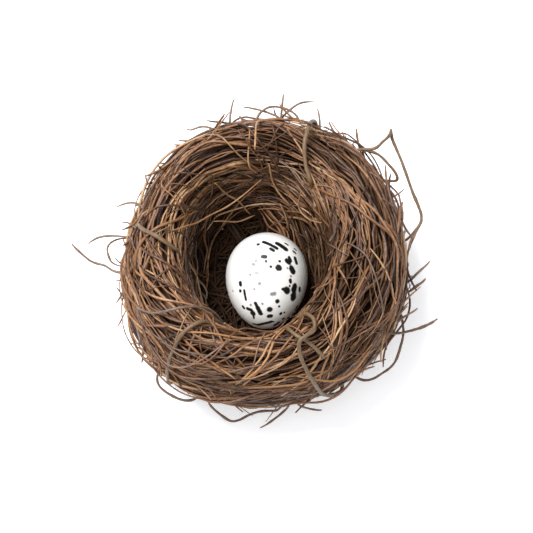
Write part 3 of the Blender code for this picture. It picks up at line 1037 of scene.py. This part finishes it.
ROUND_SPOTS = [
    ((8.1, -15), 0.8), ((2.2, -1), 0.6), ((2.6, 18), 0.6), ((0.6, 6), 0.6), ((0.5, 17), 1.9),
    ((-4.2, 38), 0.4), ((-6.0, -44), 0.8), ((-12.2, -32), 1.5), ((-9.0, 23), 1.1), ((-10.2, 30), 0.4),
    ((-11.3, 11), 1.5), ((-11.8, 43), 0.8), ((-11.3, 51), 0.4), ((-12.6, 65), 0.7), ((-10.3, 86), 0.7),
    ((-13.9, 39), 0.4),
]
PALE_SPOTS = [
    ((2.3, -15), 0.7), ((1.3, -19), 0.8), ((1.2, -17), 0.8), ((0.8, -11), 0.9), ((-1.4, -14), 0.7),
    ((-1.4, -11), 0.7), ((-4.5, -9), 0.9), ((-1.8, -23), 0.5), ((-6.0, -18), 0.4), ((-10.1, -30), 0.5),
    ((-10.0, -5), 0.5), ((-7.3, 11), 1.0), ((-7.1, 15), 1.0), ((-5.3, -62), 0.4), ((0.9, 30), 0.4),
    ((-1.3, 37), 0.5),
]
MARK_SPREAD = 0.2  # how far the ink has spread beyond each mark
HIDDEN_MARKS = 70
FAR_FROM_MARKS = 3.0  # what the fields hold where no mark is near


def hidden_marks():
    """Marks of the same kinds on the sides and underneath: where from, where to, width, how pale."""
    marks = []
    for _ in range(HIDDEN_MARKS):
        along = rng.uniform(-13.5, 13.0)
        around = rng.uniform(92, 275)
        width = rng.choice([0.5, 0.9, 1.6], p=[0.4, 0.35, 0.25]) * rng.uniform(0.8, 1.25)
        lean = rng.uniform(0, TURN)
        reach = width * rng.choice([0.2, 0.6, 2.0], p=[0.55, 0.3, 0.15])
        aside = math.degrees(math.sin(lean) * reach / (EGG_WIDTH / 2))
        end = (along + math.cos(lean) * reach, around + aside)
        marks.append(((along, around), end, width, rng.uniform() < 0.25))
    return marks


def shell_point(along, around):
    """A point of the shell, in the egg's own frame: +Z to the blunt end, -Y up."""
    end = along / (EGG_LENGTH / 2)
    radius = EGG_WIDTH / 2 * (1 + EGG_BLUNTNESS * end) * math.sqrt(max(1 - end**2, 0))
    around = math.radians(around)
    return np.array([math.sin(around) * radius, -math.cos(around) * radius, along])


def mark_fields(places):
    """How near each point of the shell is to a black mark, and to a pale one: 1 at a mark's edge."""
    marks = [(start, end, width, False) for start, end, width in STREAKS]
    marks += [(spot, spot, width, False) for spot, width in ROUND_SPOTS]
    marks += [(spot, spot, width, True) for spot, width in PALE_SPOTS]
    fields = {pale: np.full(len(places), FAR_FROM_MARKS) for pale in (False, True)}
    for start, end, width, pale in marks + hidden_marks():
        start = shell_point(*start)
        stroke = shell_point(*end) - start
        share = np.clip((places - start) @ stroke / max(stroke @ stroke, 1e-6), 0, 1)
        away = np.linalg.norm(places - start - share[:, None] * stroke, axis=1)
        fields[pale] = np.minimum(fields[pale], away / (width / 2 + MARK_SPREAD))
    return fields[False], fields[True]


def lay_egg(finish):
    """The egg: a sphere drawn out and tapered, with its marks' fields kept on it, laid in place."""
    bpy.ops.object.select_all(action="DESELECT")
    bpy.ops.mesh.primitive_uv_sphere_add(segments=120, ring_count=76, radius=0.5 * MM)
    egg = bpy.context.object
    egg.name = "speckled_egg"
    bpy.ops.transform.resize(value=(EGG_WIDTH, EGG_WIDTH, EGG_LENGTH))
    bpy.ops.object.transform_apply(location=False, rotation=False, scale=True)
    bpy.ops.object.modifier_add(type="SIMPLE_DEFORM")
    blunt = egg.modifiers[-1]
    blunt.deform_method = "TAPER"
    blunt.deform_axis = "Z"
    blunt.factor = 2 * EGG_BLUNTNESS
    bpy.ops.object.modifier_apply(modifier=blunt.name)
    bpy.ops.object.modifier_add(type="SUBSURF")
    fine = egg.modifiers[-1]
    fine.levels = 1
    fine.render_levels = 1
    bpy.ops.object.modifier_apply(modifier=fine.name)
    bpy.ops.object.shade_smooth()

    place = np.empty(len(egg.data.vertices) * 3)
    egg.data.vertices.foreach_get("co", place)
    ink, wash = mark_fields(place.reshape(-1, 3) / MM)
    for name, values in (("ink", ink), ("wash", wash)):
        field = egg.data.attributes.new(name, "FLOAT", "POINT")
        field.data.foreach_set("value", values.astype(np.float32))

    egg.rotation_euler = (-math.pi / 2 + EGG_PITCH, 0, EGG_TURN)
    egg.location = Vector(EGG_CENTRE) * MM
    bpy.ops.object.transform_apply(location=True, rotation=True, scale=True)
    egg.data.materials.append(finish)
    show(egg, "shell", "egg")


# ---------------------------------------------------------------- finishes


def new_node(tree, kind, inputs=None, **settings):
    node = tree.nodes.new(kind)
    for name, value in settings.items():
        setattr(node, name, value)
    for name, value in (inputs or {}).items():
        node.inputs[name].default_value = value
    return node


def feed(tree, socket, value):
    """Gives a socket a number or colour, or another node's output."""
    if isinstance(value, bpy.types.NodeSocket):
        tree.links.new(value, socket)
    else:
        socket.default_value = value


def math_node(tree, operation, a, b=0.0, c=0.0):
    """A Math node's output. Its inputs are numbers or other nodes' outputs."""
    node = new_node(tree, "ShaderNodeMath", operation=operation)
    for socket, value in zip(node.inputs, (a, b, c), strict=True):
        feed(tree, socket, value)
    return node.outputs[0]


def mixed(tree, factor, a, b):
    """One colour mixed from two."""
    node = new_node(tree, "ShaderNodeMix", data_type="RGBA")
    for name, value in (("Factor", factor), ("A", a), ("B", b)):
        feed(tree, node.inputs[name], value)
    return node.outputs["Result"]


def new_material(name):
    """A new material, with its node tree and its shader."""
    made = bpy.data.materials.new(name)
    made.use_nodes = True
    return made, made.node_tree, made.node_tree.nodes["Principled BSDF"]


def group(name, inputs, outputs):
    """An empty shader node group with these sockets, and its own input and output nodes."""
    tree = bpy.data.node_groups.new(name, "ShaderNodeTree")
    for label, kind in inputs.items():
        tree.interface.new_socket(label, in_out="INPUT", socket_type=kind)
    for label, kind in outputs.items():
        tree.interface.new_socket(label, in_out="OUTPUT", socket_type=kind)
    return tree, tree.nodes.new("NodeGroupInput").outputs, tree.nodes.new("NodeGroupOutput").inputs


GOLDEN_ROOT = (0.42, 0.20, 0.06, 1)
# Painted shade: the dark brown that roots are mixed towards the deeper they lie.
PAINTED_SHADE = (0.024, 0.013, 0.008, 1)
SHELL_WHITE = (0.80, 0.79, 0.77, 1)
SHELL_CLOUD = (0.75, 0.72, 0.67, 1)
# Marks on the shell: field, colour, how soft their edge is, and how strong they are.
STAINS = [
    ("wash", (0.10, 0.085, 0.095, 1), 0.4, 0.8),
    ("ink", (0.006, 0.005, 0.006, 1), 0.22, 1.0),
]
PAPER = (0.78, 0.80, 0.84, 1)
PAPER_GLOW = 0.48
WHITE = (1.0, 1.0, 1.0, 1)


def bark_group():
    """Bark: streaks along the grain, small dark pits, a tone between three colours, and painted shade on
    deep roots.
    """
    inputs = {"Grain": "NodeSocketVector"}
    inputs |= dict.fromkeys(("Streak Length", "Streak Width", "Streaks"), "NodeSocketFloat")
    inputs |= dict.fromkeys(("Dark", "Middle", "Light"), "NodeSocketColor")
    inputs |= {"Bark": "NodeSocketVector", "Deep": "NodeSocketFloat"}
    outputs = {"Color": "NodeSocketColor"}
    outputs |= dict.fromkeys(("Roughness", "Shine", "Height"), "NodeSocketFloat")
    tree, given, made = group("bark", inputs, outputs)
    link = tree.links.new
    stretch = new_node(tree, "ShaderNodeCombineXYZ")
    for axis, size in (("X", "Streak Length"), ("Y", "Streak Width")):
        link(math_node(tree, "DIVIDE", 1.0, given[size]), stretch.inputs[axis])
    grain = new_node(tree, "ShaderNodeVectorMath", operation="MULTIPLY")
    link(given["Grain"], grain.inputs[0])
    link(stretch.outputs[0], grain.inputs[1])
    streak = new_node(tree, "ShaderNodeTexNoise", {"Scale": 1.0, "Detail": 3.0, "Roughness": 0.6})
    link(grain.outputs[0], streak.inputs["Vector"])
    pits = new_node(tree, "ShaderNodeTexNoise", {"Scale": 0.9, "Detail": 2.0})
    link(given["Grain"], pits.inputs["Vector"])

    own = new_node(tree, "ShaderNodeSeparateXYZ")
    link(given["Bark"], own.inputs[0])
    streaky = math_node(tree, "SUBTRACT", streak.outputs["Fac"], 0.5)
    tone = math_node(tree, "MULTIPLY_ADD", streaky, given["Streaks"], own.outputs["X"])
    patchy = math_node(tree, "SUBTRACT", pits.outputs["Fac"], 0.5)
    tone = math_node(tree, "MULTIPLY_ADD", patchy, 0.7, tone)
    colour = mixed(tree, math_node(tree, "MULTIPLY", tone, 2.0), given["Dark"], given["Middle"])
    colour = mixed(tree, math_node(tree, "MULTIPLY_ADD", tone, 2.0, -1.0), colour, given["Light"])
    golden = math_node(tree, "MULTIPLY", own.outputs["Z"], 0.7)
    colour = mixed(tree, golden, colour, GOLDEN_ROOT)
    weathered = new_node(tree, "ShaderNodeHueSaturation")
    link(math_node(tree, "MULTIPLY_ADD", own.outputs["Y"], -0.55, 1.0), weathered.inputs["Saturation"])
    link(math_node(tree, "MULTIPLY_ADD", own.outputs["Y"], 0.1, 1.0), weathered.inputs["Value"])
    link(colour, weathered.inputs["Color"])
    # Painted shade: the deeper a root lies, the more of the dark brown it gets.
    painted_shade = math_node(tree, "MULTIPLY", given["Deep"], 0.86)
    link(mixed(tree, painted_shade, weathered.outputs["Color"], PAINTED_SHADE), made["Color"])
    link(math_node(tree, "MULTIPLY_ADD", streak.outputs["Fac"], -0.4, 0.72), made["Roughness"])
    link(math_node(tree, "MULTIPLY_ADD", given["Deep"], -0.45, 0.5), made["Shine"])
    link(math_node(tree, "MULTIPLY_ADD", pits.outputs["Fac"], 0.5, streak.outputs["Fac"]), made["Height"])
    return tree


def bark_material(name, bark, streak_length, streak_width, streaks, tones, own=None):
    """A material of that bark. Its own tone comes from each root, or is one for the whole piece."""
    made, tree, shader = new_material(name)
    link = tree.links.new
    finish = new_node(tree, "ShaderNodeGroup")
    finish.node_tree = bark
    for label, tone in zip(("Dark", "Middle", "Light"), tones, strict=True):
        finish.inputs[label].default_value = (*tone, 1)
    finish.inputs["Streak Length"].default_value = streak_length
    finish.inputs["Streak Width"].default_value = streak_width
    finish.inputs["Streaks"].default_value = streaks
    grain = new_node(tree, "ShaderNodeUVMap", uv_map="grain")
    link(grain.outputs["UV"], finish.inputs["Grain"])
    if own is None:
        own_bark = new_node(tree, "ShaderNodeAttribute", attribute_name="bark")
        link(own_bark.outputs["Vector"], finish.inputs["Bark"])
        deep = new_node(tree, "ShaderNodeAttribute", attribute_name="deep")
        link(deep.outputs["Fac"], finish.inputs["Deep"])
    else:
        finish.inputs["Bark"].default_value = own
    bump = new_node(tree, "ShaderNodeBump", {"Strength": 0.5, "Distance": 0.12 * MM})
    link(finish.outputs["Height"], bump.inputs["Height"])
    link(finish.outputs["Color"], shader.inputs["Base Color"])
    link(finish.outputs["Roughness"], shader.inputs["Roughness"])
    link(finish.outputs["Shine"], shader.inputs["Specular IOR Level"])
    link(bump.outputs["Normal"], shader.inputs["Normal"])
    return made


def shell_material():
    """A glossy white shell with faint warm clouds, black marks with ragged edges, and grey ones."""
    made, tree, shader = new_material("eggshell")
    link = tree.links.new
    shader.inputs["Subsurface Weight"].default_value = 0.8
    shader.inputs["Subsurface Radius"].default_value = (1.0, 0.9, 0.8)
    shader.inputs["Subsurface Scale"].default_value = 12 * MM
    place = new_node(tree, "ShaderNodeTexCoord")
    ragged = new_node(tree, "ShaderNodeTexNoise", {"Scale": 1400.0, "Detail": 3.0})
    clouds = new_node(tree, "ShaderNodeTexNoise", {"Scale": 160.0, "Detail": 2.0})
    grain = new_node(tree, "ShaderNodeTexNoise", {"Scale": 5200.0, "Detail": 2.0})
    for noise in (ragged, clouds, grain):
        link(place.outputs["Object"], noise.inputs["Vector"])

    cloudy = new_node(tree, "ShaderNodeMapRange", {"From Min": 0.45, "From Max": 0.8})
    link(clouds.outputs["Fac"], cloudy.inputs["Value"])
    colour = mixed(tree, cloudy.outputs["Result"], SHELL_WHITE, SHELL_CLOUD)
    for name, stain, softness, strength in STAINS:
        field = new_node(tree, "ShaderNodeAttribute", attribute_name=name)
        edge = math_node(tree, "SUBTRACT", ragged.outputs["Fac"], 0.5)
        near = math_node(tree, "MULTIPLY_ADD", edge, 0.5, field.outputs["Fac"])
        inked = {"From Min": 1.0 - softness, "From Max": 1.0 + softness / 2}
        inked |= {"To Min": strength, "To Max": 0.0}
        mask = new_node(tree, "ShaderNodeMapRange", inked)
        link(near, mask.inputs["Value"])
        colour = mixed(tree, mask.outputs["Result"], colour, stain)
    link(colour, shader.inputs["Base Color"])
    # The ink, which is the last of the stains, is rougher than the shell.
    rough = math_node(tree, "MULTIPLY_ADD", mask.outputs["Result"], 0.12, 0.26)
    link(math_node(tree, "MULTIPLY_ADD", grain.outputs["Fac"], 0.1, rough), shader.inputs["Roughness"])
    bump = new_node(tree, "ShaderNodeBump", {"Strength": 0.25, "Distance": 0.03 * MM})
    link(grain.outputs["Fac"], bump.inputs["Height"])
    link(bump.outputs["Normal"], shader.inputs["Normal"])
    return made


def paper_material():
    """Bright paper under the nest, which glows a little so that shadows on it stay faint."""
    made, _, shader = new_material("bright_paper")
    shader.inputs["Base Color"].default_value = PAPER
    shader.inputs["Roughness"].default_value = 0.9
    shader.inputs["Emission Color"].default_value = WHITE
    shader.inputs["Emission Strength"].default_value = PAPER_GLOW
    return made


# ---------------------------------------------------------------- making the nest

BARK = bark_group()
ROOT_BARK = bark_material(
    "root_bark", BARK, 5.0, 0.5, 0.6, ((0.036, 0.0135, 0.0075), (0.215, 0.094, 0.035), (0.47, 0.288, 0.145))
)
TWIG_BARK = bark_material(
    "twig_bark", BARK, 3.5, 0.45, 0.6,
    ((0.040, 0.021, 0.013), (0.17, 0.095, 0.055), (0.38, 0.25, 0.15)), own=(0.45, 0.2, 0),
)
VINE_BARK = bark_material(
    "vine_bark", BARK, 9.0, 0.5, 0.55,
    ((0.058, 0.034, 0.017), (0.150, 0.088, 0.041), (0.30, 0.19, 0.094)), own=(0.45, 0.1, 0),
)

families = bed_core()
families += fill_wall(until=-2.6)
families += wind_bundles(until=-0.9)
families += lay_fan()
families += line_hollow()
families += lay_crossings()
families += lay_loops()
place_stems(VINES, VINE_BARK, "vine", knots_apart=14)
place_stems(TWIGS, TWIG_BARK, "bark", knots_apart=6)
families += lay_outriders()
families += lay_spans()
families += scatter_wisps()
families += mat("hollow_floor", HOLLOW_CENTRE, 3.4, 10.4, 22.0, 380)
families += mat("foot", (0.0, 2.0), 0.1, 3.8, 25.0, 360)
for strands in families:
    show_strands(strands, ROOT_BARK)
lay_egg(shell_material())

# ---------------------------------------------------------------- floor, light and camera

# Lamps as (place, size, energy): one above on the left, and a weaker one on the near side.
LAMPS = [((-0.34, 0.18, 0.96), 0.40, 15.5), ((-0.08, -0.32, 0.95), 0.60, 3.5)]
ROOM_LIGHT = 0.39
CAMERA_ELEVATION = math.radians(70)
CAMERA_AIM = Vector((0.0003, -0.0038, 0.034))
CAMERA_DISTANCE = 0.55
CAMERA_LENS = 123.8
CAMERA_SENSOR = 36.0


def light_stage():
    bpy.ops.object.select_all(action="DESELECT")
    bpy.ops.mesh.primitive_plane_add(size=3.0, location=(0, 0, 0))
    floor = bpy.context.object
    floor.name = "paper"
    floor.data.materials.append(paper_material())

    world = bpy.data.worlds.new("soft_room")
    bpy.context.scene.world = world
    world.use_nodes = True
    background = world.node_tree.nodes["Background"]
    background.inputs["Color"].default_value = WHITE
    background.inputs["Strength"].default_value = ROOM_LIGHT
    bpy.context.scene.view_settings.view_transform = "Standard"

    for place, size, energy in LAMPS:
        bpy.ops.object.light_add(type="AREA", location=place)
        lamp = bpy.context.object
        lamp.data.shape = "DISK"
        lamp.data.size = size
        lamp.data.energy = energy
        lamp.rotation_euler = (-lamp.location).to_track_quat("-Z", "Y").to_euler()


def set_camera():
    back = Vector((0, -math.cos(CAMERA_ELEVATION), math.sin(CAMERA_ELEVATION)))
    bpy.ops.object.camera_add(
        location=CAMERA_AIM + back * CAMERA_DISTANCE, rotation=(math.pi / 2 - CAMERA_ELEVATION, 0, 0)
    )
    camera = bpy.context.object
    camera.data.lens = CAMERA_LENS
    camera.data.sensor_width = CAMERA_SENSOR
    bpy.context.scene.camera = camera


light_stage()
set_camera()
